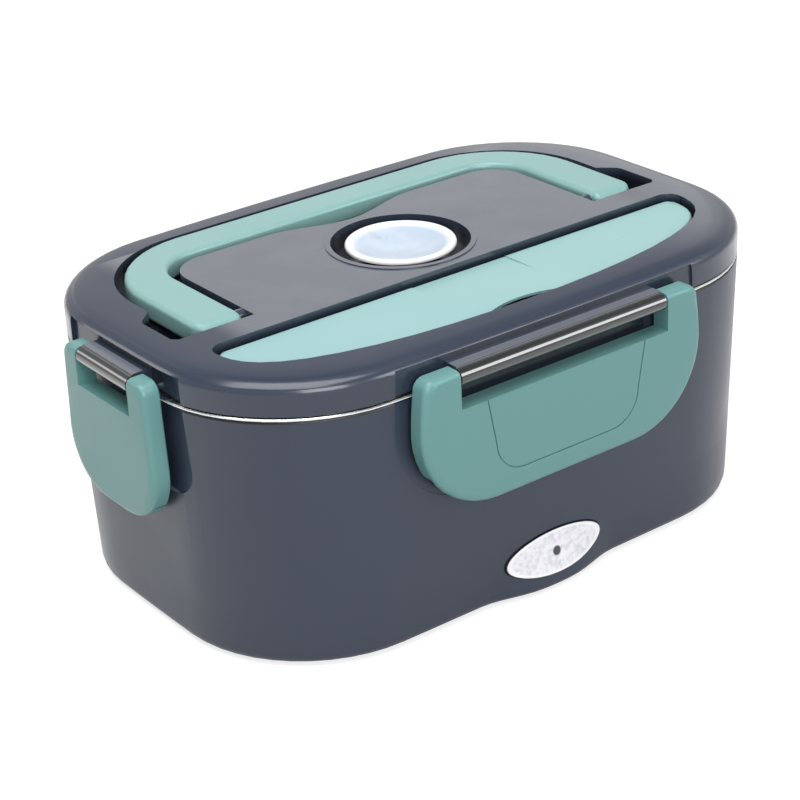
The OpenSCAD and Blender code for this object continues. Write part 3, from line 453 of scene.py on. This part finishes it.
def dress(name):
    """Gives a CAD node its finish, soft edges and smooth shading."""
    material, sharp = FINISHES[name]
    piece = NODES[name]
    piece.data.materials.clear()
    piece.data.materials.append(material)
    weld = piece.modifiers.new("weld", "WELD")
    weld.merge_threshold = WELD_REACH
    if name in SOFT_EDGES:
        bevel = piece.modifiers.new("soft edges", "BEVEL")
        bevel.width = SOFT_EDGES[name] * MM
        bevel.segments = 2
        bevel.limit_method = "ANGLE"
        bevel.angle_limit = math.radians(SOFTEN_ABOVE)
        bevel.harden_normals = False
    smooth = piece.modifiers.new("smooth", "NODES")
    smooth.node_group = SMOOTH
    smooth[ANGLE_INPUT] = math.radians(sharp)
    normals = piece.modifiers.new("normals", "WEIGHTED_NORMAL")
    normals.keep_sharp = True


for node_name in NODES:
    dress(node_name)

# ---------------------------------------------------------------- studio
AIM = Vector((0, 0, 52.5 * MM))  # the box's middle, which the lamps and the camera aim at
FLOOR_HALF = 6.0
# The floor's white near the box and far off, and the distances that it changes between
NEAR_WHITE, FAR_WHITE, FADE_START, FADE_END = 0.7, 1.0, 0.5, 1.6
# Gloss sees the floor darker on one side, as if a dark card lay there
CARD_SIDE, CARD_BRIGHT, OPEN_BRIGHT = (-0.26, -0.97, 0), 0.25, 0.6
# Gloss sees the sky at this strength at the horizon and overhead, and it changes between these heights
SKY_LOW, SKY_HIGH, SKY_FROM, SKY_TO = 0.6, 0.15, 0.45, 0.8
SKY_LIGHT = 0.3  # what the sky gives as light
# Bright windows that only gloss shows: direction, strength, and the cosines where they start and are full
WINDOWS = (((0.53, -0.75, 0.40), 6.0, 0.960, 0.985), ((-0.55, 0.73, 0.41), 3.0, 0.975, 0.992))
# Name, azimuth and elevation in degrees, distance and size in metres, watts
LAMPS = (
    ("top", -60, 78, 1.6, 1.4, 25), ("front", -20, 24, 1.8, 0.9, 16), ("fill", 60, 30, 1.8, 1.0, 1),
    ("back", 150, 30, 1.6, 1.2, 1.5),
)


def out_from_box(azimuth, elevation):
    """Direction from the box, from angles in radians; azimuth 0 is its front, a quarter turn its right."""
    return Vector((math.sin(azimuth) * math.cos(elevation), -math.cos(azimuth) * math.cos(elevation),
                   math.sin(elevation)))


def link(name, data):
    """A new object in the scene."""
    made = bpy.data.objects.new(name, data)
    bpy.context.collection.objects.link(made)
    return made


def studio_floor():
    """A white floor; gloss sees a dark card on it in front of the box."""
    mesh = bpy.data.meshes.new("floor")
    side = FLOOR_HALF
    corners = [(-side, -side, 0), (side, -side, 0), (side, side, 0), (-side, side, 0)]
    mesh.from_pydata(corners, [], [(0, 1, 2, 3)])
    floor = link("floor", mesh)
    material, g, principled = finish("floor", (0.5, 0.5, 0.5, 1), roughness=0.9, specular_ior_level=0.0)
    ray = g.add("ShaderNodeLightPath").outputs
    place = g.place()
    facing = g.vector("DOT_PRODUCT", g.vector("NORMALIZE", place), CARD_SIDE)
    card = g.spread(facing, OPEN_BRIGHT, CARD_BRIGHT)
    seen = g.larger(ray["Is Camera Ray"], ray["Is Transmission Ray"])
    white = g.spread(g.vector("LENGTH", place), NEAR_WHITE, FAR_WHITE, FADE_START, FADE_END)
    glow = g.larger(g.times(seen, white), g.times(ray["Is Glossy Ray"], card))
    g.put(principled.inputs["Emission Color"], WHITE)
    g.put(principled.inputs["Emission Strength"], glow)
    mesh.materials.append(material)


def studio_sky():
    """A white sky to look at; gloss sees it darker overhead, with two bright windows."""
    world = bpy.data.worlds.new("studio")
    bpy.context.scene.world = world
    world.use_nodes = True
    g = Graph(world.node_tree)
    ray = g.add("ShaderNodeLightPath").outputs
    seen = g.larger(ray["Is Camera Ray"], ray["Is Transmission Ray"])
    towards = g.add("ShaderNodeTexCoord").outputs["Generated"]
    gloss = g.spread(g.split(towards)["Z"], SKY_LOW, SKY_HIGH, SKY_FROM, SKY_TO)
    for direction, strength, start, full in WINDOWS:
        facing = g.vector("DOT_PRODUCT", towards, direction)
        gloss = g.larger(gloss, g.spread(facing, 0.0, strength, start, full))
    shown = g.larger(seen, g.times(ray["Is Glossy Ray"], gloss))
    background = g.tree.nodes["Background"]
    g.put(background.inputs["Color"], WHITE)
    g.put(background.inputs["Strength"], g.larger(shown, SKY_LIGHT))


def soft_lamp(name, azimuth, elevation, distance, size, watts):
    """A square lamp on a sphere round the box, aimed at its middle."""
    towards = out_from_box(math.radians(azimuth), math.radians(elevation))
    light = bpy.data.lights.new(name, "AREA")
    light.size = size
    light.energy = watts
    lamp = link(name, light)
    lamp.location = AIM + towards * distance
    lamp.rotation_euler = towards.to_track_quat("Z", "Y").to_euler()


def studio_camera():
    """The camera's turn, height, roll and reach, with the box's middle a little off its axis."""
    azimuth, elevation, roll = (math.radians(a) for a in (-36.16, 25.77, -2.88))
    distance, aim_right, aim_up, focal = 0.7811, -5.11 * MM, -7.83 * MM, 97.57
    back = out_from_box(azimuth, elevation)
    level = Vector((math.cos(azimuth), math.sin(azimuth), 0))
    upright = back.cross(level)
    right = level * math.cos(roll) + upright * math.sin(roll)
    up = upright * math.cos(roll) - level * math.sin(roll)
    place = AIM + right * aim_right + up * aim_up + back * distance
    camera = bpy.data.cameras.new("camera")
    camera.lens = focal
    camera_object = link("camera", camera)
    camera_object.matrix_world = Matrix.Translation(place) @ Matrix((right, up, back)).transposed().to_4x4()
    bpy.context.scene.camera = camera_object


studio_floor()
studio_sky()
for lamp_values in LAMPS:
    soft_lamp(*lamp_values)
studio_camera()
bpy.context.scene.view_settings.view_transform = "Standard"
